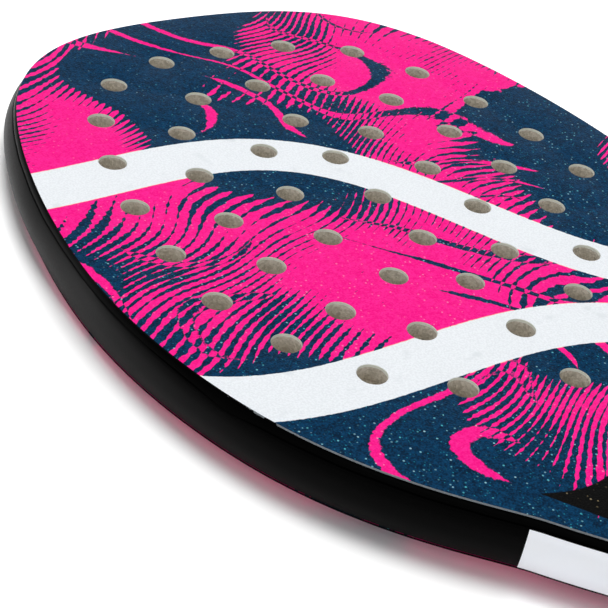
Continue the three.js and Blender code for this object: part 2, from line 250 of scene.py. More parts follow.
# Black panel that closes the print at the throat
PANEL_TOP_Y = -45.9
PANEL_SCALLOP = 3.25
PANEL_SCALLOP_HALF = 32
PANEL_HALF = 46
PANEL_SIDE_Y = -47.7
PANEL_TAPER = 0.73
PANEL_LEAST_HALF = 14
PANEL_EDGE = 0.15

# Grain of the inks, and flakes. A speck fades in between two shares of its cell's size,
# and each cell draws a lot for whether it holds one.
GRIT_SIZE = 0.7
GRIT_DEPTH = 0.2
COARSE_SIZE = 1.7
COARSE_WEIGHT = 0.45
PINK_GRAIN_SHARES = (0.36, 0.66)
NAVY_GRAIN_SHARES = (0.36, 0.64)
DUST_SIZE = 1
DUST_EDGE_SHARES = (0.34, 0.12)
DUST_LOT_SHARES = (0.6, 1)
FLAKE_SIZE = 1.7
FLAKE_EDGE_SHARES = (0.26, 0.14)
FLAKE_LOT_SHARES = (0.5, 0.9)
THICK_FLAKES_Y = 90
THIN_FLAKES_Y = 230
THIN_FLAKES_SHARE = 0.25

# Cut edges of laminate and foam
FIBRE_SIZE = 1.2
FIBRE_DEPTH = 0.1
# Below a ragged height the face's cut edge is left grey: painted highlight, the light strip and glints
# along the face edge near the throat
RAGGED_EDGE_SIZE = 4
RAGGED_EDGE_REACH = 90
EDGE_HIGHLIGHT_TOP_Y = 12
COAT_EDGE = 1
TORN_FIBRE_SIZE = 0.8
TORN_FIBRE_DEPTH = 0.15
CELL_SIZE = 0.7
CELL_DEPTH = 0.25
CELL_WEIGHT = 0.3
SMEAR_SIZE = 3
SMEAR_WEIGHT = 0.7
FOAM_SHARES = (0.25, 0.75)
# A pale ragged band along the foam next to both laminates is painted light: the lit top rim of each hole
RAGGED_BAND_SIZE = 1.3
PAINTED_LIGHT_DEPTH = 0.35
PAINTED_LIGHT_EDGE = 0.1

# Relief and wear of the other finishes. Stretched patterns have a rate for each axis.
RIPPLE_SIZE = 7
RIPPLE_DEPTH = 0.05
COAT_SCUFF_SIZE = 2.5
COAT_ROUGHNESS = (0.14, 0.26)
WRAP_SIZE = 14
WRAP_DEPTH = 0.08
FILM_SCUFF_SIZE = 0.8
FILM_ROUGHNESS = (0.34, 0.42)
SCUFF_SHARES = (0.3, 0.7)
LABEL_WAVE_SIZE = 12
LABEL_WAVE_DEPTH = 0.04
PUNCH_PITCH = 4.8
PUNCH_RADIUS = 0.65
PUNCH_EDGE = 0.1
PUNCH_SINK = 3
LEATHER_SIZE = 1.1
LEATHER_CREASE_SHARE = 0.12
LEATHER_DEPTH = 0.08
STRETCH_RATES = (0.12, 2.2, 0.12)
STRETCH_DEPTH = 0.05
RUBBER_GRAIN_SIZE = 0.6
RUBBER_GRAIN_DEPTH = 0.06
NYLON_GRAIN_SIZE = 0.7
NYLON_GRAIN_DEPTH = 0.05
PORE_SIZE = 1.6
PORE_SHARES = (0.05, 0.2)
PORE_DEPTH = 0.1
DRAWING_RATES = (0.4, 6, 6)
DRAWING_DEPTH = 0.01

# Camera, solved from the drilled holes of the photograph, with its place in metres
PHOTO_SIZE = 608
SENSOR_WIDTH = 36
FOCAL_PIXELS = 1718.4
CAMERA_PLACE = Vector((-0.34956, -0.29746, 0.33763))
CAMERA_RIGHT = Vector((0.83230, -0.52928, 0.16473))
CAMERA_DOWN = Vector((-0.19121, -0.55305, -0.81091))

# Floor. The racket rests on its butt cap and on the head's tip. Round the racket the
# floor keeps its shadow, and further off a glow, which is painted light, lifts it to pure white.
FLOOR_HALF = 3000
CAP_REST_Y = CAP_LOW.y + CAP_END * FLARE_FULL_SHARE
FLOOR_MIRROR = 0.2
FLOOR_ROUGHNESS = 0.3
FLOOR_LIFT = 0.02
OPEN_LIFT = 0.3
OPEN_REACH = 60
OPEN_SHARES = (0.42, 0.8)

# Lights. Mirrors see a white backdrop that darkens between two heights, in degrees.
FILL_LEVEL = 0.4
CEILING_LEVEL = 0.1
CEILING_START = 28
CEILING_FULL = 46
# Each softbox: name, size and place in metres, power in watts
SOFTBOXES = (
    ("overhead", 1.1, Vector((0.12, 0.45, 2.2)), 36),
    ("front_fill", 1.0, Vector((-1.4, -1.0, 0.5)), 4.5),
)


# Node materials

def colour(code):
    """Linear RGBA from an sRGB hex value."""
    parts = [int(code[i:i + 2], 16) / 255 for i in (1, 3, 5)]
    linear = [p / 12.92 if p <= 0.04045 else ((p + 0.055) / 1.055) ** 2.4 for p in parts]
    return (*linear, 1)


def node(tree, kind, inputs=(), **settings):
    """Adds a node with its settings, values and links, and returns it. The inputs are a list
    in the sockets' order, or are named or numbered. A node among them is linked from its
    first output that is in use."""
    made = tree.nodes.new("ShaderNode" + kind)
    for name, value in settings.items():
        setattr(made, name, value)
    given = inputs if isinstance(inputs, dict) else dict(enumerate(inputs))
    for key, value in given.items():
        if isinstance(value, bpy.types.Node):
            value = next(output for output in value.outputs if output.enabled)
        if isinstance(value, bpy.types.NodeSocket):
            tree.links.new(value, made.inputs[key])
        else:
            made.inputs[key].default_value = value
    return made


def new_material(name):
    """An empty node material and its tree."""
    made = bpy.data.materials.new(name)
    made.use_nodes = True
    made.node_tree.nodes.clear()
    return made, made.node_tree


def surface(tree, **values):
    """The shader and output of a surface. Names use _ for a space."""
    inputs = {name.replace("_", " "): value for name, value in values.items()}
    shader = node(tree, "BsdfPrincipled", inputs)
    node(tree, "OutputMaterial", {"Surface": shader})


def millimetres(tree):
    """The place on the object, in millimetres."""
    place = node(tree, "TexCoord").outputs["Object"]
    return node(tree, "VectorMath", {0: place, "Scale": 1 / MM}, operation="SCALE")


def weighted(tree, parts, start=0):
    """The sum of (value, weight) pairs and a start."""
    total = start
    for value, weight in parts:
        total = node(tree, "Math", [value, weight, total], operation="MULTIPLY_ADD")
    return total


def ridge(tree, along, pitch):
    """A triangle wave from 0 to 1 along a distance."""
    count = node(tree, "Math", [along, 2 / pitch], operation="MULTIPLY")
    return node(tree, "Math", [count, 1], operation="PINGPONG")


# Printed face: sweeping pale ribbons over a pink and navy ground, with engraved lines,
# dots and brushed edges

def inside_ribbon(tree, at, turn, shift, swing, wave, phase, half):
    """How far inside its edge a place lies, on a ribbon that runs as a sine wave."""
    turning = {"Vector": at, "Angle": math.radians(turn)}
    turned = node(tree, "VectorRotate", turning, rotation_type="Z_AXIS")
    parts = node(tree, "SeparateXYZ", [turned])
    rate = 2 * math.pi / wave
    angle = node(tree, "Math", [parts, rate, phase], operation="MULTIPLY_ADD")
    sine = node(tree, "Math", [angle], operation="SINE")
    cosine = node(tree, "Math", [angle], operation="COSINE")
    middle = node(tree, "Math", [sine, swing, shift], operation="MULTIPLY_ADD")
    across = node(tree, "Math", [parts.outputs[1], middle], operation="SUBTRACT")
    slope = node(tree, "Math", [cosine, swing * rate], operation="MULTIPLY")
    run = node(tree, "CombineXYZ", [1, slope])
    length = node(tree, "VectorMath", [run], operation="LENGTH")
    straight = node(tree, "Math", [across, length], operation="DIVIDE")
    away = node(tree, "Math", [straight], operation="ABSOLUTE")
    return node(tree, "Math", [half, away], operation="SUBTRACT")


def engraving(tree, at):
    """Ridges across and along curved lines, which make them taper and break into dots."""
    swell = node(tree, "TexNoise", {"Vector": at, "Scale": 1 / ENGRAVING_BEND_SIZE, "Detail": 0})
    bend = [swell.outputs["Color"], [2 * ENGRAVING_BEND] * 3, at]
    swayed = node(tree, "VectorMath", bend, operation="MULTIPLY_ADD")
    turning = {"Vector": swayed, "Angle": math.radians(ENGRAVING_TURN)}
    turned = node(tree, "VectorRotate", turning, rotation_type="Z_AXIS")
    parts = node(tree, "SeparateXYZ", [turned])
    return ridge(tree, parts, ENGRAVING_PITCH), ridge(tree, parts.outputs[1], DOT_PITCH)


def scrolls(tree, at, brush):
    """1 on long brushed lines that swell and thin, laid over part of the ground."""
    moved = node(tree, "VectorMath", [at, SCROLL_SHIFT], operation="ADD")
    height = node(tree, "TexNoise", {"Vector": moved, "Scale": 1 / SCROLL_SIZE, "Detail": 1})
    area = node(tree, "TexNoise", {"Vector": moved, "Scale": 1 / ENGRAVED_SIZE, "Detail": 0})
    where = node(tree, "MapRange", [area, *SCROLLED_SHARES], interpolation_type="SMOOTHSTEP")
    parts = [(where, SCROLLED_WEIGHT), (brush, SCROLL_BRUSH_WEIGHT)]
    level = weighted(tree, parts, ridge(tree, height, SCROLL_STEP_SHARE))
    return node(tree, "MapRange", [level, *SCROLL_EDGE], interpolation_type="SMOOTHSTEP")


def ground(tree, at, brush, shift, navy_share):
    """1 on pink, 0 on navy: broad areas that meet in engraved lines, dots and brushed edges."""
    moved = node(tree, "VectorMath", [at, shift], operation="ADD")
    lines, breaks = engraving(tree, moved)
    area = node(tree, "TexNoise", {"Vector": moved, "Scale": 1 / ENGRAVED_SIZE, "Detail": 0})
    engraved = node(tree, "MapRange", [area, *ENGRAVED_SHARES], interpolation_type="SMOOTHSTEP")
    inked = node(tree, "Math", [engraved, lines], operation="MULTIPLY")
    dotted = node(tree, "Math", [engraved, breaks], operation="MULTIPLY")
    broad = node(tree, "TexNoise", {"Vector": moved, "Scale": 1 / GROUND_SIZE, "Detail": 2})
    flecks = node(tree, "TexNoise", {"Vector": moved, "Scale": 1 / FLECK_SIZE, "Detail": 1})
    parts = [
        (broad, GROUND_GAIN), (inked, LINE_WEIGHT), (dotted, DOT_WEIGHT),
        (brush, BRUSH_WEIGHT), (flecks, FLECK_WEIGHT),
    ]
    level = weighted(tree, parts, -GROUND_GAIN / 2 - navy_share)
    pink = node(tree, "MapRange", [level, *INK_EDGE], interpolation_type="SMOOTHSTEP")
    swapped = node(tree, "Math", [pink, scrolls(tree, at, brush)], operation="SUBTRACT")
    return node(tree, "Math", [swapped], operation="ABSOLUTE")


def throat_panel(tree, at):
    """1 on the black panel that closes the print at the throat."""
    parts = node(tree, "SeparateXYZ", [at])
    aside = node(tree, "Math", [parts], operation="ABSOLUTE")
    scallop = node(tree, "Math", [aside, math.pi / PANEL_SCALLOP_HALF], operation="MULTIPLY")
    wave = node(tree, "Math", [scallop], operation="COSINE")
    top = node(tree, "Math", [wave, PANEL_SCALLOP, PANEL_TOP_Y], operation="MULTIPLY_ADD")
    below = node(tree, "Math", [top, parts.outputs[1]], operation="SUBTRACT")
    taper = [parts.outputs[1], PANEL_TAPER, PANEL_HALF - PANEL_TAPER * PANEL_SIDE_Y]
    side = node(tree, "Math", taper, operation="MULTIPLY_ADD")
    half = node(tree, "Math", [side, PANEL_LEAST_HALF], operation="MAXIMUM")
    inside = node(tree, "Math", [half, aside], operation="SUBTRACT")
    depth = node(tree, "Math", [below, inside], operation="MINIMUM")
    edge = [depth, -PANEL_EDGE, PANEL_EDGE]
    return node(tree, "MapRange", edge, interpolation_type="SMOOTHSTEP")


def flake_thickness(tree, at):
    """How thickly the flakes lie, which is less towards the tip."""
    along = node(tree, "SeparateXYZ", [at]).outputs[1]
    return node(tree, "MapRange", [along, THICK_FLAKES_Y, THIN_FLAKES_Y, 1, THIN_FLAKES_SHARE])


def inks(tree, at, grit, thick, on_pink):
    """Grainy pink ink on grainy navy ink, with fine motes of metal in the navy."""
    coarse = node(tree, "TexNoise", {"Vector": at, "Scale": 1 / COARSE_SIZE, "Detail": 2})
    grain = weighted(tree, [(coarse, COARSE_WEIGHT), (grit, 1 - COARSE_WEIGHT)])
    bright = node(tree, "MapRange", [grain, *PINK_GRAIN_SHARES], interpolation_type="SMOOTHSTEP")
    pink = node(tree, "Mix", {0: bright, 6: colour("#EE0C80"), 7: colour("#FA2893")}, data_type="RGBA")
    light = node(tree, "MapRange", [grain, *NAVY_GRAIN_SHARES], interpolation_type="SMOOTHSTEP")
    dark = node(tree, "Mix", {0: light, 6: colour("#001E36"), 7: colour("#053A5D")}, data_type="RGBA")
    dust = node(tree, "TexVoronoi", {"Vector": at, "Scale": 1 / DUST_SIZE})
    lot = node(tree, "SeparateColor", [dust.outputs["Color"]])
    mote = node(tree, "MapRange", [dust, *DUST_EDGE_SHARES], interpolation_type="SMOOTHSTEP")
    drawn = node(tree, "MapRange", [lot, *DUST_LOT_SHARES], interpolation_type="SMOOTHSTEP")
    motes = node(tree, "Math", [mote, drawn], operation="MULTIPLY")
    laid = node(tree, "Math", [motes, thick], operation="MULTIPLY")
    navy = node(tree, "Mix", {0: laid, 6: dark, 7: colour("#1C7C93")}, data_type="RGBA")
    return node(tree, "Mix", {0: on_pink, 6: navy, 7: pink}, data_type="RGBA")


def ribboned(tree, at, ribbons, brush, grit, on_pink, ink):
    """1 on the ribbons, and the colour of the ink with the ribbons over it."""
    depths = [inside_ribbon(tree, at, *facts) for facts in ribbons]
    deepest = node(tree, "Math", depths, operation="MAXIMUM")
    edge = node(tree, "Math", [brush, RIBBON_WAVER, deepest], operation="MULTIPLY_ADD")
    mottle = node(tree, "MapRange", [grit, *MOTTLE_SHARES], interpolation_type="SMOOTHSTEP")
    mottled = node(tree, "Mix", {0: mottle, 6: colour("#E0E4E8"), 7: colour("#E9EDF1")}, data_type="RGBA")
    wear = node(tree, "TexNoise", {"Vector": at, "Scale": 1 / WEAR_SIZE, "Detail": 3})
    worn = node(tree, "MapRange", [wear, *WEAR_SHARES], interpolation_type="SMOOTHSTEP")
    pale = node(tree, "Mix", {0: worn, 6: mottled, 7: colour("#D9DEE2")}, data_type="RGBA")
    # The pale ink overlaps the pink by a hair, which shows as a warm fringe
    overlap = node(tree, "MapRange", [edge, *FRINGE_EDGE], interpolation_type="SMOOTHSTEP")
    fringe = node(tree, "Math", [overlap, on_pink], operation="MULTIPLY")
    fringed = node(tree, "Mix", {0: fringe, 6: ink, 7: colour("#FF9A8C")}, data_type="RGBA")
    on_ribbon = node(tree, "MapRange", [edge, *RIBBON_EDGE], interpolation_type="SMOOTHSTEP")
    return on_ribbon, node(tree, "Mix", {0: on_ribbon, 6: fringed, 7: pale}, data_type="RGBA")


def flaked(tree, at, thick, on_ribbon, on_pink, panel, under):
    """The print with larger metallic flakes over it, but none on the ribbons."""
    flakes = node(tree, "TexVoronoi", {"Vector": at, "Scale": 1 / FLAKE_SIZE})
    lot = node(tree, "SeparateColor", [flakes.outputs["Color"]])
    flake = node(tree, "MapRange", [flakes, *FLAKE_EDGE_SHARES], interpolation_type="SMOOTHSTEP")
    drawn = node(tree, "MapRange", [lot, *FLAKE_LOT_SHARES], interpolation_type="SMOOTHSTEP")
    shown = node(tree, "Math", [flake, drawn], operation="MULTIPLY")
    bare = node(tree, "Math", [1, on_ribbon], operation="SUBTRACT")
    placed = node(tree, "Math", [bare, thick], operation="MULTIPLY")
    seen = node(tree, "Math", [shown, placed], operation="MULTIPLY")
    blues = {0: lot.outputs[1], 6: colour("#3FA6B4"), 7: colour("#8FB6C6")}
    cool = node(tree, "Mix", blues, data_type="RGBA")
    glint = node(tree, "Mix", {0: on_pink, 6: cool, 7: colour("#FF7FA8")}, data_type="RGBA")
    browns = {0: lot.outputs[2], 6: colour("#5E5A50"), 7: colour("#A08C62")}
    bronze = node(tree, "Mix", browns, data_type="RGBA")
    metal = node(tree, "Mix", {0: panel, 6: glint, 7: bronze}, data_type="RGBA")
    return node(tree, "Mix", {0: seen, 6: under, 7: metal}, data_type="RGBA")


def screen_printed_laminate(name, ribbons, shift, navy_share):
    """Glass fibre laminate, screen printed and sanded rough for spin: dense ink with a
    gritty, low sheen and scattered metallic flakes."""
    made, tree = new_material(name)
    at = millimetres(tree)
    brush = node(tree, "TexNoise", {"Vector": at, "Scale": 1 / BRUSH_SIZE, "Detail": 3})
    # Real grit is 0.2 mm across: drawn at 0.7 mm so that it shows
    grit = node(tree, "TexNoise", {"Vector": at, "Scale": 1 / GRIT_SIZE, "Detail": 1})
    thick = flake_thickness(tree, at)
    on_pink = ground(tree, at, brush, shift, navy_share)
    ink = inks(tree, at, grit, thick, on_pink)
    on_ribbon, banded = ribboned(tree, at, ribbons, brush, grit, on_pink, ink)
    panel = throat_panel(tree, at)
    panelled = node(tree, "Mix", {0: panel, 6: banded, 7: colour("#060606")}, data_type="RGBA")
    tone = flaked(tree, at, thick, on_ribbon, on_pink, panel, panelled)
    relief = node(tree, "Bump", {"Height": grit, "Distance": GRIT_DEPTH * MM})
    surface(tree, Base_Color=tone, Roughness=0.45, Specular_IOR_Level=0.03, Normal=relief)
    return made


# Other finishes

def cut_laminate_edge(name, highlight_top_y):
    """Cured glass fibre cut by a router: grey and fibrous. The rim's black coat covers it down to a
    ragged height, and the grey left below is painted highlight: a light strip and glints along the face
    edge near the throat."""
    made, tree = new_material(name)
    at = millimetres(tree)
    fibre = node(tree, "TexNoise", {"Vector": at, "Scale": 1 / FIBRE_SIZE, "Detail": 3})
    # Painted highlight: this grey shows below the coat's ragged end
    bare = node(tree, "Mix", {0: fibre, 6: colour("#6A6F73"), 7: colour("#8D9398")}, data_type="RGBA")
    along = node(tree, "SeparateXYZ", [at]).outputs[1]
    raggedness = node(tree, "TexNoise", {"Vector": at, "Scale": 1 / RAGGED_EDGE_SIZE, "Detail": 3})
    ragged = weighted(tree, [(raggedness, RAGGED_EDGE_REACH)], along)
    end = RAGGED_EDGE_REACH / 2 + highlight_top_y
    edge = [ragged, end - COAT_EDGE, end + COAT_EDGE]
    coated = node(tree, "MapRange", edge, interpolation_type="SMOOTHSTEP")
    tone = node(tree, "Mix", {0: coated, 6: bare, 7: colour("#060606")}, data_type="RGBA")
    relief = node(tree, "Bump", {"Height": fibre, "Distance": FIBRE_DEPTH * MM})
    surface(tree, Base_Color=tone, Roughness=0.55, Specular_IOR_Level=0.01, Normal=relief)
    return made


def drilled_laminate_edge_and_painted_light():
    """The same laminate where a drill went through: a pale ring with torn fibre ends, painted near white.
    That is partly the laminate's own pale colour and partly painted light on the lit top rim of each hole.
    """
    made, tree = new_material("drilled_laminate_edge_and_painted_light")
    at = millimetres(tree)
    fibre = node(tree, "TexNoise", {"Vector": at, "Scale": 1 / TORN_FIBRE_SIZE, "Detail": 3})
    # Painted near white: partly the laminate's own pale colour, partly painted light on the lit top rim of
    # each hole
    tone = node(tree, "Mix", {0: fibre, 6: colour("#E6E9DA"), 7: colour("#FCFEF4")}, data_type="RGBA")
    relief = node(tree, "Bump", {"Height": fibre, "Distance": TORN_FIBRE_DEPTH * MM})
    surface(tree, Base_Color=tone, Roughness=0.6, Specular_IOR_Level=0.3, Normal=relief)
    return made


def cut_eva_foam():
    """Closed-cell EVA foam cut by a drill: matt, warm grey, with torn cells. Its outer part next to
    the laminates is a pale ragged band, painted light for the lit top rim of each hole."""
    made, tree = new_material("cut_eva_foam")
    at = millimetres(tree)
    # Real cells are 0.2 mm across: drawn at 0.7 mm so that they show
    cells = node(tree, "TexVoronoi", {"Vector": at, "Scale": 1 / CELL_SIZE})
    lot = node(tree, "SeparateColor", [cells.outputs["Color"]])
    smear = node(tree, "TexNoise", {"Vector": at, "Scale": 1 / SMEAR_SIZE, "Detail": 4})
    shade = weighted(tree, [(lot, CELL_WEIGHT), (smear, SMEAR_WEIGHT)])
    light = node(tree, "MapRange", [shade, *FOAM_SHARES], interpolation_type="SMOOTHSTEP")
    foam = node(tree, "Mix", {0: light, 6: colour("#C9C1B2"), 7: colour("#F2EBDF")}, data_type="RGBA")
    # Painted light: a pale ragged band where the foam meets the laminates
    height = node(tree, "SeparateXYZ", [at]).outputs[2]
    aside = node(tree, "Math", [height, MID_Z], operation="SUBTRACT")
    away = node(tree, "Math", [aside], operation="ABSOLUTE")
    torn = node(tree, "TexNoise", {"Vector": at, "Scale": 1 / RAGGED_BAND_SIZE, "Detail": 3})
    reach = weighted(tree, [(torn, 2 * PAINTED_LIGHT_DEPTH)], away)
    edge = [reach, CORE_HALF - PAINTED_LIGHT_EDGE, CORE_HALF + PAINTED_LIGHT_EDGE]
    painted_light_band = node(tree, "MapRange", edge, interpolation_type="SMOOTHSTEP")
    tone = node(tree, "Mix", {0: painted_light_band, 6: foam, 7: colour("#FEFFF8")}, data_type="RGBA")
    relief = node(tree, "Bump", {"Height": cells, "Distance": CELL_DEPTH * MM})
    surface(tree, Base_Color=tone, Roughness=0.95, Specular_IOR_Level=0.2, Normal=relief)
    return made


def black_gel_coat():
    """Pigmented gel coat, moulded and polished: deep black and glossy, with the faint
    ripple of a hand-flatted surface."""
    made, tree = new_material("black_gel_coat")
    at = millimetres(tree)
    ripple = node(tree, "TexNoise", {"Vector": at, "Scale": 1 / RIPPLE_SIZE, "Detail": 1})
    scuff = node(tree, "TexNoise", {"Vector": at, "Scale": 1 / COAT_SCUFF_SIZE, "Detail": 4})
    gloss = node(tree, "MapRange", [scuff, *SCUFF_SHARES, *COAT_ROUGHNESS])
    relief = node(tree, "Bump", {"Height": ripple, "Distance": RIPPLE_DEPTH * MM})
    surface(
        tree, Base_Color=colour("#020202"), Roughness=gloss, Specular_IOR_Level=0.008, Normal=relief,
    )
    return made


def satin_guard_film():
    """Calendered polyurethane film, wrapped on the side wall: black and satin, with a
    long soft unevenness from the wrap and fine scuffs. It shines only at a low angle."""
    made, tree = new_material("satin_guard_film")
    at = millimetres(tree)
    wrap = node(tree, "TexNoise", {"Vector": at, "Scale": 1 / WRAP_SIZE, "Detail": 1})
    scuff = node(tree, "TexNoise", {"Vector": at, "Scale": 1 / FILM_SCUFF_SIZE, "Detail": 3})
    satin = node(tree, "MapRange", [scuff, *SCUFF_SHARES, *FILM_ROUGHNESS])
    relief = node(tree, "Bump", {"Height": wrap, "Distance": WRAP_DEPTH * MM})
    surface(
        tree, Base_Color=colour("#070707"), Roughness=satin, Specular_IOR_Level=0.055,
        Specular_Tint=colour("#303030"), Normal=relief,
    )
    return made


def white_label_film():
    """Blank vinyl label, smooth and white, with a soft sheen."""
    made, tree = new_material("white_label_film")
    at = millimetres(tree)
    wave = node(tree, "TexNoise", {"Vector": at, "Scale": 1 / LABEL_WAVE_SIZE, "Detail": 1})
    tone = node(tree, "Mix", {0: wave, 6: colour("#F3F7FF"), 7: colour("#F9FBFF")}, data_type="RGBA")
    relief = node(tree, "Bump", {"Height": wave, "Distance": LABEL_WAVE_DEPTH * MM})
    surface(tree, Base_Color=tone, Roughness=0.4, Specular_IOR_Level=0.4, Normal=relief)
    return made


def perforated_cushion_tape():
    """Polyurethane-faced cushion tape: matt black and leathery, punched with rows of
    small holes. Its UV map runs along and across the tape in millimetres."""
    made, tree = new_material("perforated_cushion_tape")
    at = millimetres(tree)
    along = node(tree, "UVMap", uv_map="along_tape")
    rows = node(tree, "VectorMath", [along, (PUNCH_PITCH, PUNCH_PITCH, 1)], operation="MODULO")
    middle = (PUNCH_PITCH / 2, PUNCH_PITCH / 2, 0)
    away = node(tree, "VectorMath", [rows, middle], operation="DISTANCE")
    # Real punched holes are 0.9 mm across: drawn at 1.3 mm so that they show
    edge = [away, PUNCH_RADIUS + PUNCH_EDGE, PUNCH_RADIUS - PUNCH_EDGE]
    punched = node(tree, "MapRange", edge, interpolation_type="SMOOTHSTEP")
    pattern = {"Vector": at, "Scale": 1 / LEATHER_SIZE}
    leather = node(tree, "TexVoronoi", pattern, feature="DISTANCE_TO_EDGE")
    crease = node(tree, "MapRange", [leather, 0, LEATHER_CREASE_SHARE], interpolation_type="SMOOTHSTEP")
    # The punched holes are painted near black: painted shade inside them
    tone = node(tree, "Mix", {0: punched, 6: colour("#161616"), 7: colour("#040404")}, data_type="RGBA")
    height = weighted(tree, [(punched, -PUNCH_SINK)], crease)
    relief = node(tree, "Bump", {"Height": height, "Distance": LEATHER_DEPTH * MM})
    surface(tree, Base_Color=tone, Roughness=0.72, Specular_IOR_Level=0.35, Normal=relief)
    return made


def finishing_tape_vinyl():
    """Stretched vinyl tape: black with a smooth half sheen and fine stretch lines."""
    made, tree = new_material("finishing_tape_vinyl")
    squeezed = node(tree, "VectorMath", [millimetres(tree), STRETCH_RATES], operation="MULTIPLY")
    lines = node(tree, "TexNoise", {"Vector": squeezed, "Scale": 1, "Detail": 2})
    tone = node(tree, "Mix", {0: lines, 6: colour("#0C0C0C"), 7: colour("#171717")}, data_type="RGBA")
    relief = node(tree, "Bump", {"Height": lines, "Distance": STRETCH_DEPTH * MM})
    surface(tree, Base_Color=tone, Roughness=0.42, Specular_IOR_Level=0.4, Normal=relief)
    return made


def moulded_rubber():
    """Moulded rubber collar: matt charcoal with a fine spark-eroded grain."""
    made, tree = new_material("moulded_rubber")
    at = millimetres(tree)
    grain = node(tree, "TexNoise", {"Vector": at, "Scale": 1 / RUBBER_GRAIN_SIZE, "Detail": 3})
    tone = node(tree, "Mix", {0: grain, 6: colour("#151515"), 7: colour("#232323")}, data_type="RGBA")
    relief = node(tree, "Bump", {"Height": grain, "Distance": RUBBER_GRAIN_DEPTH * MM})
    surface(tree, Base_Color=tone, Roughness=0.8, Specular_IOR_Level=0.35, Normal=relief)
    return made


def moulded_nylon():
    """Injection-moulded nylon: black, with a fine textured satin."""
    made, tree = new_material("moulded_nylon")
    at = millimetres(tree)
    grain = node(tree, "TexNoise", {"Vector": at, "Scale": 1 / NYLON_GRAIN_SIZE, "Detail": 2})
    tone = node(tree, "Mix", {0: grain, 6: colour("#111111"), 7: colour("#1B1B1B")}, data_type="RGBA")
    relief = node(tree, "Bump", {"Height": grain, "Distance": NYLON_GRAIN_DEPTH * MM})
    surface(tree, Base_Color=tone, Roughness=0.5, Specular_IOR_Level=0.45, Normal=relief)
    return made


def moulded_pallet_foam():
    """Self-skinning polyurethane foam: dull dark grey with a smooth skin and pin holes."""
    made, tree = new_material("moulded_pallet_foam")
    at = millimetres(tree)
    pores = node(tree, "TexVoronoi", {"Vector": at, "Scale": 1 / PORE_SIZE})
    pits = node(tree, "MapRange", [pores, *PORE_SHARES], interpolation_type="SMOOTHSTEP")
    # The pin holes are painted darker: painted shade inside them
    tone = node(tree, "Mix", {0: pits, 6: colour("#1A1A1A"), 7: colour("#3A3A3A")}, data_type="RGBA")
    relief = node(tree, "Bump", {"Height": pits, "Distance": PORE_DEPTH * MM})
    surface(tree, Base_Color=tone, Roughness=0.85, Specular_IOR_Level=0.3, Normal=relief)
    return made


def drawn_staple_steel():
    """Galvanised drawn wire: bright grey with drawing lines along it."""
    made, tree = new_material("drawn_staple_steel")
    stretched = node(tree, "VectorMath", [millimetres(tree), DRAWING_RATES], operation="MULTIPLY")
    lines = node(tree, "TexNoise", {"Vector": stretched, "Scale": 1, "Detail": 2})
    tone = node(tree, "Mix", {0: lines, 6: colour("#A9ACB0"), 7: colour("#C6C8CB")}, data_type="RGBA")
    relief = node(tree, "Bump", {"Height": lines, "Distance": DRAWING_DEPTH * MM})
    surface(tree, Base_Color=tone, Metallic=1, Roughness=0.32, Normal=relief)
    return made


# Meshes

def built(name, work, finishes, nodes, finish_of=None, bend=SHARP_BEND):
    """Turns a bmesh in millimetres into an object that replaces CAD nodes."""
    bmesh.ops.scale(work, vec=(MM, MM, MM), verts=work.verts)
    bmesh.ops.recalc_face_normals(work, faces=work.faces)
    mesh = bpy.data.meshes.new(name)
    work.to_mesh(mesh)
    work.free()
    for finish in finishes:
        mesh.materials.append(finish)
    for polygon in mesh.polygons:
        polygon.use_smooth = len(polygon.vertices) == 4
        if finish_of:
            polygon.material_index = finish_of(polygon)
    mesh.set_sharp_from_angle(angle=math.radians(bend))
    made = bpy.data.objects.new(name, mesh)
    bpy.context.scene.collection.objects.link(made)
    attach(made, ROOT)
    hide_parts(*nodes)
    return made


def drafted(points, faces):
    """A bmesh of points and faces, in millimetres."""
    work = bmesh.new()
    corners = [work.verts.new(point) for point in points]
    for face in faces:
        work.faces.new([corners[i] for i in face])
    return work


def loft(rings, closed_ends=True, closed_round=False):
    """Points and faces of a skin over rings that have the same number of points."""
    count = len(rings[0])
    points = [p for ring in rings for p in ring]
    faces = []
    for i in range(len(rings) if closed_round else len(rings) - 1):
        ahead = (i + 1) % len(rings)
        for j in range(count):
            k = (j + 1) % count
            faces.append((i * count + j, i * count + k, ahead * count + k, ahead * count + j))
    if closed_ends:
        last = (len(rings) - 1) * count
        faces.append(tuple(reversed(range(count))))
        faces.append(tuple(range(last, last + count)))
    return points, faces


def smooth(share):
    """0 below 0 and 1 beyond 1, with a smooth step between."""
    share = min(max(share, 0), 1)
    return share * share * (3 - 2 * share)


def between(start, end, share):
    """The value at a share of the way from start to end."""
    return start + (end - start) * share


# Outline of the rim

def heading(degrees, side):
    """The direction that leans out from straight down, on the right (1) or the left (-1)."""
    angle = math.radians(degrees)
    return Vector((side * math.sin(angle), -math.cos(angle)))


def pulled_curve(start, start_heading, end, end_heading, shares, steps):
    """A curve that leaves and arrives along its headings, pulled by shares of its chord."""
    chord = (end - start).length
    after_start = start + start_heading * shares[0] * chord
    before_end = end - end_heading * shares[1] * chord
    return interpolate_bezier(start, after_start, before_end, end, steps + 1)


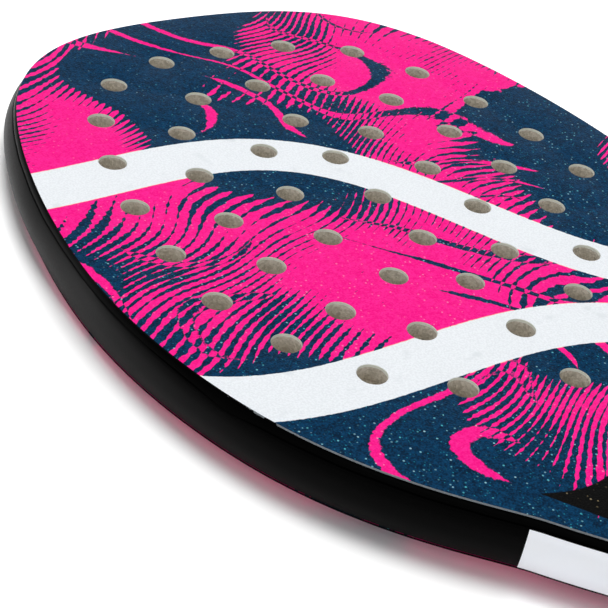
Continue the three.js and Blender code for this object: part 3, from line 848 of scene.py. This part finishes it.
def right_side(end_y):
    """Points down the right side of the outer wall, from the tip to end_y."""
    tip = Vector((0, TIP_Y))
    shoulder = Vector((SHOULDER_ACROSS, TIP_Y - SHOULDER_DEPTH))
    widest = Vector((HEAD_HALF, TIP_Y - WIDEST_DEPTH))
    throat = Vector((THROAT_ACROSS, TIP_Y - THROAT_DEPTH))
    shaft_top = Vector((SHAFT_HALF, TIP_Y - SHAFT_TOP_DEPTH))
    across, down = heading(90, 1), heading(0, 1)
    outwards, inwards = heading(SHOULDER_SLOPE, 1), heading(THROAT_SLOPE, -1)
    curves = (
        (tip, across, shoulder, outwards, TIP_PULL_SHARES),
        (shoulder, outwards, widest, down, SHOULDER_PULL_SHARES),
        (widest, down, throat, inwards, FLANK_PULL_SHARES),
        (throat, inwards, shaft_top, down, THROAT_PULL_SHARES),
    )
    points = [tip]
    for curve, steps in zip(curves, CURVE_STEPS):
        points += pulled_curve(*curve, steps)[1:]
    leg_end = Vector((SHAFT_HALF, end_y))
    for step in range(1, LEG_STEPS + 1):
        points.append(shaft_top.lerp(leg_end, step / LEG_STEPS))
    return points


def stations(end_y):
    """(place, outward) pairs from the left leg round the tip to the right leg."""
    right = right_side(end_y)
    left = [Vector((-p.x, p.y)) for p in reversed(right[1:])]
    line = left + right
    pairs = []
    for i, place in enumerate(line):
        ahead = line[min(i + 1, len(line) - 1)]
        behind = line[max(i - 1, 0)]
        along = (ahead - behind).normalized()
        pairs.append((place, Vector((-along.y, along.x))))
    return pairs


def bevel_at(y):
    """The width of the rim's bevel at a height along the racket."""
    share = smooth((TIP_Y - y - BEVEL_WIDENS_DEPTH) / (BEVEL_FULL_DEPTH - BEVEL_WIDENS_DEPTH))
    return between(HEAD_BEVEL, THROAT_BEVEL, share)


def film_drop(place):
    """How far the cut edge of the guard film lies below its highest line."""
    depth = TIP_Y - place.y
    side = math.copysign(1, place.x)
    long, short = FILM_WANDER_LENGTHS
    wander = math.sin(depth / long * math.pi + side) * math.cos(depth / short * math.pi)
    dip = math.exp(-((depth - FILM_DIP_DEPTHS[side]) / FILM_DIP_LENGTH) ** 2)
    return FILM_WANDER * (1 + wander) / 2 + FILM_DIP * dip


def sweep(pairs, section_at):
    """Carries section_at(place), a list of (out, up) points, along stations."""
    rings = []
    for place, outward in pairs:
        ring = []
        for out, up in section_at(place):
            spot = place + outward * out
            ring.append((spot.x, spot.y, MID_Z + up))
        rings.append(ring)
    return loft(rings)


# Drilled plates

def hole_places():
    """Middles of the drilled holes."""
    first_y = TIP_Y - TIP_TO_FIRST_HOLE
    places = [Vector((0, first_y - i * HOLE_PITCH)) for i in range(CENTRE_HOLES)]
    for across, down in OUTER_RING_SHARES + MIDDLE_RING_SHARES + INNER_RING_SHARES:
        for side in (-1, 1):
            places.append(Vector((side * across * HOLE_PITCH, first_y - down * HOLE_PITCH)))
    return places


def circle(centre, radius, sides):
    """Points round a circle."""
    turns = [2 * math.pi * i / sides for i in range(sides)]
    return [centre + Vector((math.cos(t), math.sin(t))) * radius for t in turns]


def flat_face(loops):
    """Well-shaped triangles between an outline and the holes inside it."""
    spots, edges, owners = [], [], []
    for owner, loop in enumerate(loops):
        first = len(spots)
        edges += [(first + j, first + (j + 1) % len(loop)) for j in range(len(loop))]
        owners += [owner] * len(loop)
        spots += loop
    triangles = delaunay_2d_cdt(spots, edges, [], 1, 0)[2]
    return [t for t in triangles if len({owners[i] for i in t}) > 1 or owners[t[0]] == 0]


def drilled_plate(outline_at, profile):
    """A plate with the racket's holes, over (inset, z) pairs from its skin to its glue side."""
    points, faces, starts, layers = [], [], [], []
    for inset, z in profile:
        holes = [circle(hole, HOLE_RADIUS + inset, HOLE_SIDES) for hole in hole_places()]
        loops = [outline_at(inset), *holes]
        layers.append(loops)
        starts.append(len(points))
        points += [(p.x, p.y, z) for loop in loops for p in loop]
    sizes = [len(loop) for loop in loops]
    for upper, lower in zip(starts, starts[1:]):
        first = 0
        for size in sizes:
            for j in range(size):
                a, b = first + j, first + (j + 1) % size
                faces.append((upper + a, upper + b, lower + b, lower + a))
            first += size
    for start, loops in ((starts[0], layers[0]), (starts[-1], layers[-1])):
        faces += [tuple(start + i for i in triangle) for triangle in flat_face(loops)]
    return points, faces


def rounded_plate_profile(skin_z, glue_z):
    """(inset, z) pairs over a plate's rounded edge and down to its glue side."""
    down = math.copysign(FACE_ROUND, glue_z - skin_z)
    pairs = []
    for step in range(ROUND_STEPS + 1):
        turn = math.pi / 2 * step / ROUND_STEPS
        pairs.append((FACE_ROUND * (1 - math.sin(turn)), skin_z + down * (1 - math.cos(turn))))
    return [*pairs, (0, glue_z)]


# Head

def laminates():
    """The two printed faces: a ragged grey strip of painted highlight on the front's cut edge, and torn
    fibres at their pale drilled edges, which are partly painted light.
    """
    front = screen_printed_laminate("front_screen_print", FRONT_RIBBONS, FRONT_SHIFT, FRONT_NAVY_SHARE)
    back = screen_printed_laminate("back_screen_print", BACK_RIBBONS, BACK_SHIFT, BACK_NAVY_SHARE)
    drilled = drilled_laminate_edge_and_painted_light()
    highlighted_edge = cut_laminate_edge("cut_laminate_edge", EDGE_HIGHLIGHT_TOP_Y)
    coated = cut_laminate_edge("coated_laminate_edge", LEG_END_Y - RAGGED_EDGE_REACH)
    holes = hole_places()

    def outline_at(inset):
        return [p - out * (bevel_at(p.y) + inset) for p, out in stations(RIM_END_Y)]

    def finish_of(polygon):
        if abs(polygon.normal.z) > FLAT_FACE_SHARE:
            return 0
        middle = Vector(polygon.center[:2]) / MM
        return 2 if min((middle - hole).length for hole in holes) < HOLE_RADIUS + FACE_ROUND else 1

    for name, cad, side, finishes in (
        ("front_laminate", "front_face", 1, [front, highlighted_edge, drilled]),
        ("back_laminate", "back_face", -1, [back, coated, drilled]),
    ):
        profile = rounded_plate_profile(MID_Z + side * FACE_HALF, MID_Z + side * CORE_HALF)
        work = drafted(*drilled_plate(outline_at, profile))
        built(name, work, finishes, [cad], finish_of)


def crown_at(y, up):
    """How far the side wall has curved back at a height above its middle."""
    return CROWN_SHARE * bevel_at(y) * (up / GUARD_HALF) ** CROWN_POWER


def wrap_at(y, down):
    """How far it has curved back below its middle, where the film runs on over the bevel."""
    return bevel_at(y) * (down / CORE_HALF) ** WRAP_POWER


def bulge_at(place, up):
    """How far the wall stands out past the outline, which it does round the shoulders."""
    across = smooth((abs(place.x) - BULGE_START_ACROSS) / (BULGE_FULL_ACROSS - BULGE_START_ACROSS))
    along = smooth((place.y - TIP_Y + BULGE_END_DEPTH) / (BULGE_END_DEPTH - BULGE_FADE_DEPTH))
    return SHOULDER_BULGE * across * along * (1 - ((up - BULGE_MIDDLE) / BULGE_REACH) ** 2)


def side_wall(place, top, lift):
    """(out, up) points up the filmed wall, from near the back face to a height."""
    end = CORE_HALF - GLUE_GAP
    points = []
    for step in range(GUARD_STEPS, 0, -1):
        down = end * step / GUARD_STEPS
        points.append((lift + bulge_at(place, -down) - wrap_at(place.y, down), -down))
    for step in range(GUARD_STEPS + 1):
        up = top * step / GUARD_STEPS
        points.append((lift + bulge_at(place, up) - crown_at(place.y, up), up))
    return points


def frame_shell():
    """The black frame, with its bevel and the seam above the guard film."""
    def section_at(place):
        lip = GUARD_HALF + SEAM_WIDTH - film_drop(place)
        bevel = bevel_at(place.y)
        bulge = bulge_at(place, lip)
        low = Vector((bulge - crown_at(place.y, lip) - GUARD_LIP, lip))
        high = Vector((-bevel, CORE_HALF))
        bend_out, bend_up = BEVEL_BEND_SHARES
        bend = Vector((between(low.x, high.x, bend_out), between(low.y, high.y, bend_up)))
        slope = []
        for step in range(BEVEL_STEPS + 1):
            t = step / BEVEL_STEPS
            spot = low * (1 - t) ** 2 + bend * 2 * t * (1 - t) + high * t ** 2
            slope.append((spot.x, spot.y))
        under = [(out - GLUE_GAP, up) for out, up in side_wall(place, 0, 0)]
        inner = -FRAME_WIDTH
        return [
            (inner, -CORE_HALF), (-bevel - GLUE_GAP, -CORE_HALF), *under[:GUARD_STEPS],
            (bulge - SEAM_DEPTH, lip), *slope, (inner, CORE_HALF),
        ]

    work = drafted(*sweep(stations(LEG_END_Y), section_at))
    built("frame_shell", work, [black_gel_coat()], ["frame_tube"])


def guard_band():
    """The satin film on the side wall, which wraps over the lower bevel."""
    def section_at(place):
        edge = GUARD_HALF - film_drop(place)
        wall = side_wall(place, edge - GUARD_LIP, 0)
        (low_out, low_up), (top_out, _) = wall[0], wall[-1]
        rim = top_out - GUARD_LIP
        return [(low_out - GUARD_LIP, low_up), *wall, (rim, edge), (rim - GUARD_SINK, edge)]

    work = drafted(*sweep(stations(RIM_END_Y), section_at))
    built("guard_band", work, [satin_guard_film()], ["edge_guard"])


def blank_label():
    """The white film label on the left side wall, near the throat."""
    low_y, high_y = LABEL_LOW.y, LABEL_HIGH.y
    pairs = [(p, out) for p, out in stations(RIM_END_Y) if p.x < 0 and low_y <= p.y <= high_y]

    def section_at(place):
        outer = side_wall(place, GUARD_HALF - FILM_WANDER, LABEL_LIFT)
        return outer + [(out - LABEL_FILM, up) for out, up in reversed(outer)]

    work = drafted(*sweep(pairs, section_at))
    built("side_label_film", work, [white_label_film()], ["side_label"])


def core():
    """The foam core, drilled through, which fills the frame down to the bridge."""
    first_y = TIP_Y - TIP_TO_FIRST_HOLE
    bridge_bottom_y = first_y - (CENTRE_HOLES - 1) * HOLE_PITCH - TIP_TO_FIRST_HOLE
    centre = Vector((0, bridge_bottom_y + BRIDGE_RADIUS))
    radius = BRIDGE_RADIUS - BRIDGE_WIDTH - GLUE_GAP

    def outline_at(inset):
        wall = [p - out * (FRAME_WIDTH + GLUE_GAP + inset) for p, out in stations(RIM_END_Y)]
        kept = [p for p in wall if p.y > centre.y or (p - centre).length < radius]
        reach = math.asin(kept[-1].x / radius)
        turns = [between(reach, -reach, i / BRIDGE_STEPS) for i in range(1, BRIDGE_STEPS)]
        return kept + [centre + Vector((math.sin(t), -math.cos(t))) * radius for t in turns]

    work = drafted(*drilled_plate(outline_at, [(0, MID_Z + CORE_HALF), (0, MID_Z - CORE_HALF)]))
    built("core_foam", work, [cut_eva_foam()], ["foam_core"])


# Handle

def octagon(half_width, half_depth, chamfer, corner):
    """(place, outward) pairs round an octagon with rounded corners, in the plane across the handle."""
    inset = corner * (2 - math.sqrt(2))
    a, b, c = half_width - corner, half_depth - corner, chamfer - inset
    centres = [
        Vector(spot) for spot in (
            (a, b - c), (a - c, b), (c - a, b), (-a, b - c),
            (-a, c - b), (c - a, -b), (a - c, -b), (a, c - b),
        )
    ]
    pairs = []
    for side, centre in enumerate(centres):
        for step in range(CORNER_STEPS + 1):
            angle = (side + step / CORNER_STEPS) * math.pi / 4
            out = Vector((math.cos(angle), math.sin(angle)))
            pairs.append((centre + out * corner, out))
        start, out = pairs[-1]
        end = centres[(side + 1) % len(centres)] + out * corner
        for step in range(1, FLAT_STEPS):
            pairs.append((start.lerp(end, step / FLAT_STEPS), out))
    return pairs


def handle_section():
    """(place, outward) pairs round the handle."""
    return octagon(HANDLE_HALF_WIDTH, HANDLE_HALF_DEPTH, HANDLE_CHAMFER, HANDLE_CORNER)


def handle_ring(offset, y):
    """The handle's section grown by an offset, at a height along it."""
    grown = [place + out * offset for place, out in handle_section()]
    return [Vector((p.x, y, MID_Z + p.y)) for p in grown]


def shaft_ring(grow, y):
    """The shaft's section grown all round, at a height along it."""
    chamfer = THROAT_BEVEL + grow
    pairs = octagon(SHAFT_HALF + grow, FACE_HALF + grow, chamfer, min(HANDLE_CORNER, chamfer))
    return [Vector((p.x, y, MID_Z + p.y)) for p, _ in pairs]


def trimmed(work, low_y, high_y):
    """Cuts a bmesh off beyond two heights and closes its ends."""
    for height, side in ((low_y, -1), (high_y, 1)):
        parts = [*work.verts, *work.edges, *work.faces]
        bmesh.ops.bisect_plane(
            work, geom=parts, plane_co=(0, height, 0), plane_no=(0, side, 0), clear_outer=True,
        )
    loose = [edge for edge in work.edges if edge.is_boundary]
    bmesh.ops.holes_fill(work, edges=loose)


def tape_section():
    """(offset, height) points round the tape, with rounded edges and a slight crown."""
    half = TAPE_WIDTH / 2
    outer = GLUE_GAP + TAPE_THICKNESS
    right = []
    for step in range(ROUND_STEPS + 1):
        turn = math.pi / 2 * step / ROUND_STEPS
        height = half - TAPE_EDGE_ROUND * (1 - math.sin(turn))
        right.append((outer - TAPE_CROWN - TAPE_EDGE_ROUND * (1 - math.cos(turn)), height))
    crown = []
    for step in range(1, TAPE_ACROSS_STEPS):
        across = between(-1, 1, step / TAPE_ACROSS_STEPS)
        flat = half - TAPE_EDGE_ROUND
        crown.append((outer - TAPE_CROWN * across * across, across * flat))
    left = [(offset, -height) for offset, height in reversed(right)]
    return [(GLUE_GAP, -half), *left, *crown, *right, (GLUE_GAP, half)]


def grip_tape():
    """The cushion tape, one strip wound up the handle and trimmed square at both ends."""
    pairs = handle_section()
    pitch = TAPE_WIDTH + LAP_GAP
    first_y = TAPE_LOW.y - pitch
    turns = math.ceil((TAPE_HIGH.y + pitch - first_y) / pitch)
    places = [place for place, _ in pairs]
    lengths = [(places[(i + 1) % len(places)] - p).length for i, p in enumerate(places)]
    girth = sum(lengths)
    section = tape_section()
    rings, marks = [], []
    run = 0
    for step in range(turns * len(pairs) + 1):
        place, out = pairs[step % len(pairs)]
        y = first_y + pitch * run / girth
        ring = []
        for offset, height in section:
            spot = place + out * offset
            ring.append((spot.x, y + height, MID_Z + spot.y))
            marks.append((run, height))
        rings.append(ring)
        run += lengths[step % len(pairs)]
    work = drafted(*loft(rings))
    work.verts.index_update()
    layer = work.loops.layers.uv.new("along_tape")
    for face in work.faces:
        for corner in face.loops:
            corner[layer].uv = marks[corner.vert.index]
    trimmed(work, TAPE_LOW.y, TAPE_HIGH.y)
    finish = perforated_cushion_tape()
    built("wound_grip", work, [finish], ["grip_tape"], bend=TAPE_SHARP_BEND)


def finishing_band():
    """The thin vinyl band over the top end of the tape."""
    inner = 2 * GLUE_GAP + TAPE_THICKNESS
    outer = inner + BAND_THICKNESS
    low, high = BAND_LOW.y, BAND_HIGH.y
    profile = (
        (inner, low), (outer - BAND_ROUND, low), (outer, low + BAND_ROUND),
        (outer, high - BAND_ROUND), (outer - BAND_ROUND, high), (inner, high),
    )
    rings = [handle_ring(offset, y) for offset, y in profile]
    work = drafted(*loft(rings, closed_ends=False, closed_round=True))
    built("finishing_band", work, [finishing_tape_vinyl()], ["finishing_tape"])


def collar_shoulder(outer, wall, top_y):
    """Rings that ease from the handle's octagon to the shaft."""
    rings = []
    for step in range(1, COLLAR_STEPS):
        share = step / COLLAR_STEPS
        turn = math.pi / 2 * share
        eased = between(share, 1 - math.cos(turn), math.sin(turn))
        y = between(HANDLE_TOP_Y, top_y, share)
        rings.append([p.lerp(q, eased) for p, q in zip(handle_ring(outer, y), shaft_ring(wall, y))])
    return rings


def ribbed_collar():
    """Rubber ring with two grooves on the handle and a lip that hugs the shaft."""
    low, high = COLLAR_LOW.y, COLLAR_HIGH.y
    outer = 2 * GLUE_GAP + TAPE_THICKNESS + BAND_THICKNESS
    wall = GLUE_GAP + COLLAR_WALL
    round_y = low + BAND_ROUND
    inner_y = HANDLE_TOP_Y + GLUE_GAP
    rings = [handle_ring(GLUE_GAP, low), handle_ring(outer - BAND_ROUND, low), handle_ring(outer, round_y)]
    rib = (HANDLE_TOP_Y - low) / (COLLAR_GROOVES + 1)
    for groove in range(1, COLLAR_GROOVES + 1):
        middle = low + rib * groove
        for along, depth in GROOVE_SHARES:
            rings.append(handle_ring(outer - COLLAR_GROOVE * depth, middle + along * rib))
    rings += collar_shoulder(outer, wall, high)
    rings += [shaft_ring(wall, high), shaft_ring(GLUE_GAP, high)]
    rings += [shaft_ring(GLUE_GAP, inner_y), handle_ring(GLUE_GAP, inner_y)]
    work = drafted(*loft(rings, closed_ends=False, closed_round=True))
    built("ribbed_collar", work, [moulded_rubber()], ["grip_collar"])


# Butt cap

def flare_share(along):
    """The cap's flare at a share of its length, from the butt's face."""
    rise = 1 - min(along / FLARE_ROUND_SHARE, 1)
    rounded = between(FLARE_EDGE_SHARE, 1, math.sqrt(1 - rise * rise))
    return rounded - FLARE_NARROW_SHARE * smooth((along - FLARE_FULL_SHARE) / (1 - FLARE_FULL_SHARE))


def cap_body():
    """The cap and the skirt inside it that the staples hold."""
    cap_inside_y = CAP_LOW.y + CAP_END
    skirt_top_y = CAP_HIGH.y
    rings = [
        handle_ring(-SKIRT_THICKNESS, cap_inside_y), handle_ring(-SKIRT_THICKNESS, skirt_top_y),
        handle_ring(0, skirt_top_y), handle_ring(0, cap_inside_y),
    ]
    for step in range(CAP_RINGS + 1):
        along = 1 - smooth(step / CAP_RINGS)
        rings.append(handle_ring(CAP_FLARE * flare_share(along), CAP_LOW.y + CAP_END * along))
    return drafted(*loft(rings))


def cord_way():
    """Points and faces of the cord's way through the cap, with eased ends."""
    reach = HANDLE_HALF_WIDTH + CAP_FLARE
    y = CAP_LOW.y + CAP_END / 2
    stops = [(-reach - CORD_LEAD, 2 * CORD_LEAD), (-reach, CORD_LEAD), (-reach + CORD_LEAD, 0)]
    stops += [(-x, wider) for x, wider in reversed(stops)]
    rings = []
    for x, wider in stops:
        loop = circle(Vector((y, MID_Z)), CORD_RADIUS + wider, CORD_SIDES)
        rings.append([(x, p.x, p.y) for p in loop])
    return loft(rings)


def slot_corners(side):
    """Corners of the slot for the front (1) or back (-1) staple, the inner four first."""
    half = STAPLE_HIGH.x + GLUE_GAP
    low, high = STAPLE_LOW.y - GLUE_GAP, STAPLE_HIGH.y + GLUE_GAP
    corners = []
    for out in (HANDLE_HALF_DEPTH / 2, HANDLE_HALF_DEPTH + CUT_OVERRUN):
        z = MID_Z + side * out
        corners += [(-half, low, z), (half, low, z), (half, high, z), (-half, high, z)]
    return corners


def cap_cutters():
    """Everything that is cut out of the cap: the cord's way and the two staple slots."""
    points, faces = cord_way()
    for side in (-1, 1):
        start = len(points)
        points += slot_corners(side)
        faces += [tuple(start + i for i in face) for face in BOX_FACES]
    return drafted(points, faces)


def holder(name, work):
    """A passing object for a modifier to work on."""
    bmesh.ops.recalc_face_normals(work, faces=work.faces)
    mesh = bpy.data.meshes.new(name)
    work.to_mesh(mesh)
    work.free()
    made = bpy.data.objects.new(name, mesh)
    bpy.context.scene.collection.objects.link(made)
    return made


def butt_cap():
    """The flared nylon cap, with the cord's way cut through it."""
    body = holder("cap_body", cap_body())
    cutter = holder("cap_cutters", cap_cutters())
    cut = body.modifiers.new("cut", "BOOLEAN")
    cut.operation = "DIFFERENCE"
    cut.solver = "EXACT"
    cut.object = cutter
    finished = bmesh.new()
    finished.from_mesh(body.evaluated_get(bpy.context.evaluated_depsgraph_get()).to_mesh())
    for spare in (body, cutter):
        bpy.data.objects.remove(spare)
    built("flared_butt_cap", finished, [moulded_nylon()], ["butt_cap"])


# Pieces that stay as the model has them

def carried_over():
    """Finishes for the CAD pieces that stay: the hidden ones and the staples."""
    foam, shell = cut_eva_foam(), black_gel_coat()
    pallet, steel = moulded_pallet_foam(), drawn_staple_steel()
    for name, finish in (
        ("throat_foam", foam), ("throat_bridge", shell),
        ("front_pallet", pallet), ("back_pallet", pallet),
        ("front_staple", steel), ("back_staple", steel),
    ):
        obj = bpy.data.objects[name]
        obj.data.materials.clear()
        obj.data.materials.append(finish)


# Stage

def camera():
    """The camera of the photograph, with the middle of the picture on the lens's axis."""
    data = bpy.data.cameras.new("camera")
    data.lens = FOCAL_PIXELS / PHOTO_SIZE * SENSOR_WIDTH
    data.sensor_width = SENSOR_WIDTH
    made = bpy.data.objects.new("camera", data)
    forward = CAMERA_RIGHT.cross(CAMERA_DOWN)
    turn = Matrix((CAMERA_RIGHT, -CAMERA_DOWN, -forward)).transposed()
    made.matrix_world = Matrix.Translation(CAMERA_PLACE) @ turn.to_4x4()
    bpy.context.scene.collection.objects.link(made)
    bpy.context.scene.camera = made


def straight_rays(tree):
    """1 on rays from the camera, mirrors and clear pieces, 0 on those that light the object."""
    ray = node(tree, "LightPath")
    rays = [ray.outputs["Is Camera Ray"], ray.outputs["Is Glossy Ray"]]
    direct = node(tree, "Math", rays, operation="MAXIMUM")
    return node(tree, "Math", [direct, ray.outputs["Is Transmission Ray"]], operation="MAXIMUM")


def polished_white_floor():
    """White acrylic sheet: it mirrors the racket's underside softly near the contact."""
    made, tree = new_material("polished_white_floor")
    matt = node(tree, "BsdfDiffuse", {"Color": colour("#FFFFFF")})
    mirror = node(tree, "BsdfGlossy", {"Color": colour("#FFFFFF"), "Roughness": FLOOR_ROUGHNESS})
    sheet = node(tree, "MixShader", [FLOOR_MIRROR, matt, mirror])
    # Away from the racket the sheet glows to pure white, as in a product photograph: painted light that
    # fades where the racket occludes the floor, and so draws the edge of its shadow
    openness = node(tree, "AmbientOcclusion", {"Distance": OPEN_REACH * MM}).outputs["AO"]
    opened = node(tree, "MapRange", [openness, *OPEN_SHARES], interpolation_type="SMOOTHSTEP")
    lift = node(tree, "MapRange", {"Value": opened, "To Min": FLOOR_LIFT, "To Max": OPEN_LIFT})
    level = node(tree, "Math", [straight_rays(tree), lift], operation="MULTIPLY")
    glow = node(tree, "Emission", {"Color": colour("#FFFFFF"), "Strength": level})
    total = node(tree, "AddShader", [sheet, glow])
    node(tree, "OutputMaterial", {"Surface": total})
    return made


def floor():
    """The racket rests on its butt cap and on the head's tip, so the floor leans to both."""
    slope = BACK_LOW.z / (BACK_HIGH.y - CAP_REST_Y)
    corners = []
    for x, y in ((-1, -1), (1, -1), (1, 1), (-1, 1)):
        place = Vector((x * FLOOR_HALF, y * FLOOR_HALF))
        corners.append(Vector((place.x, place.y, (place.y - CAP_REST_Y) * slope)) * MM)
    mesh = bpy.data.meshes.new("floor")
    mesh.from_pydata(corners, [], [(0, 1, 2, 3)])
    mesh.materials.append(polished_white_floor())
    made = bpy.data.objects.new("floor", mesh)
    bpy.context.scene.collection.objects.link(made)


def white_room():
    """An even white world. Mirrors see a white backdrop that gives way to a darker ceiling."""
    world = bpy.data.worlds.new("studio")
    bpy.context.scene.world = world
    world.use_nodes = True
    tree = world.node_tree
    tree.nodes.clear()
    up = node(tree, "SeparateXYZ", [node(tree, "TexCoord").outputs["Generated"]]).outputs[2]
    heights = [math.sin(math.radians(angle)) for angle in (CEILING_START, CEILING_FULL)]
    ceiling = node(tree, "MapRange", [up, *heights], interpolation_type="SMOOTHSTEP")
    backdrop = node(tree, "MapRange", {"Value": ceiling, "To Min": 1, "To Max": CEILING_LEVEL})
    seen = {"Value": straight_rays(tree), "To Min": FILL_LEVEL, "To Max": backdrop}
    level = node(tree, "MapRange", seen)
    sky = node(tree, "Background", {"Color": colour("#FFFFFF"), "Strength": level})
    node(tree, "OutputWorld", {"Surface": sky})


def softboxes():
    """A large softbox above and behind the head, and a weak one in front of its left side."""
    for name, size, place, power in SOFTBOXES:
        data = bpy.data.lights.new(name, "AREA")
        data.size = size
        data.energy = power
        made = bpy.data.objects.new(name, data)
        made.location = place
        made.rotation_euler = (-place).to_track_quat("-Z", "Y").to_euler()
        bpy.context.scene.collection.objects.link(made)


laminates()
frame_shell()
guard_band()
blank_label()
core()
grip_tape()
finishing_band()
ribbed_collar()
butt_cap()
carried_over()
camera()
floor()
white_room()
softboxes()
bpy.context.scene.view_settings.view_transform = "Standard"
